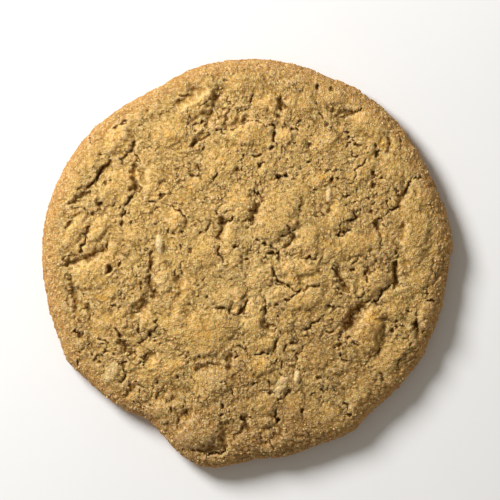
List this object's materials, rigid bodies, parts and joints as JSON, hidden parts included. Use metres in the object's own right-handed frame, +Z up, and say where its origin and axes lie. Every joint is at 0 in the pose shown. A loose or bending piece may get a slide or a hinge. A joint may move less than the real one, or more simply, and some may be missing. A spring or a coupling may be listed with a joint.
{
  "type": "pecan shortbread cookie",
  "caption": "Round baked pecan shortbread cookie with a craggy, cracked top, a smoother baked rim, a flat underside and small chips of nut.",
  "frame": {"origin": "centre of the cookie's bounding box, on its flat underside", "axes": "+Z up out of the craggy top; +Y towards the edge opposite the small lip; +X to the right seen from above with the lip at the bottom"},
  "size_m": [0.0772, 0.0768, 0.01],
  "materials": {
    "baked_dough": "matt, sandy crumb, golden tan with browner edges and cracks"
  },
  "bodies": {
    "root": {"cookie": "baked_dough"}
  },
  "joints": []
}
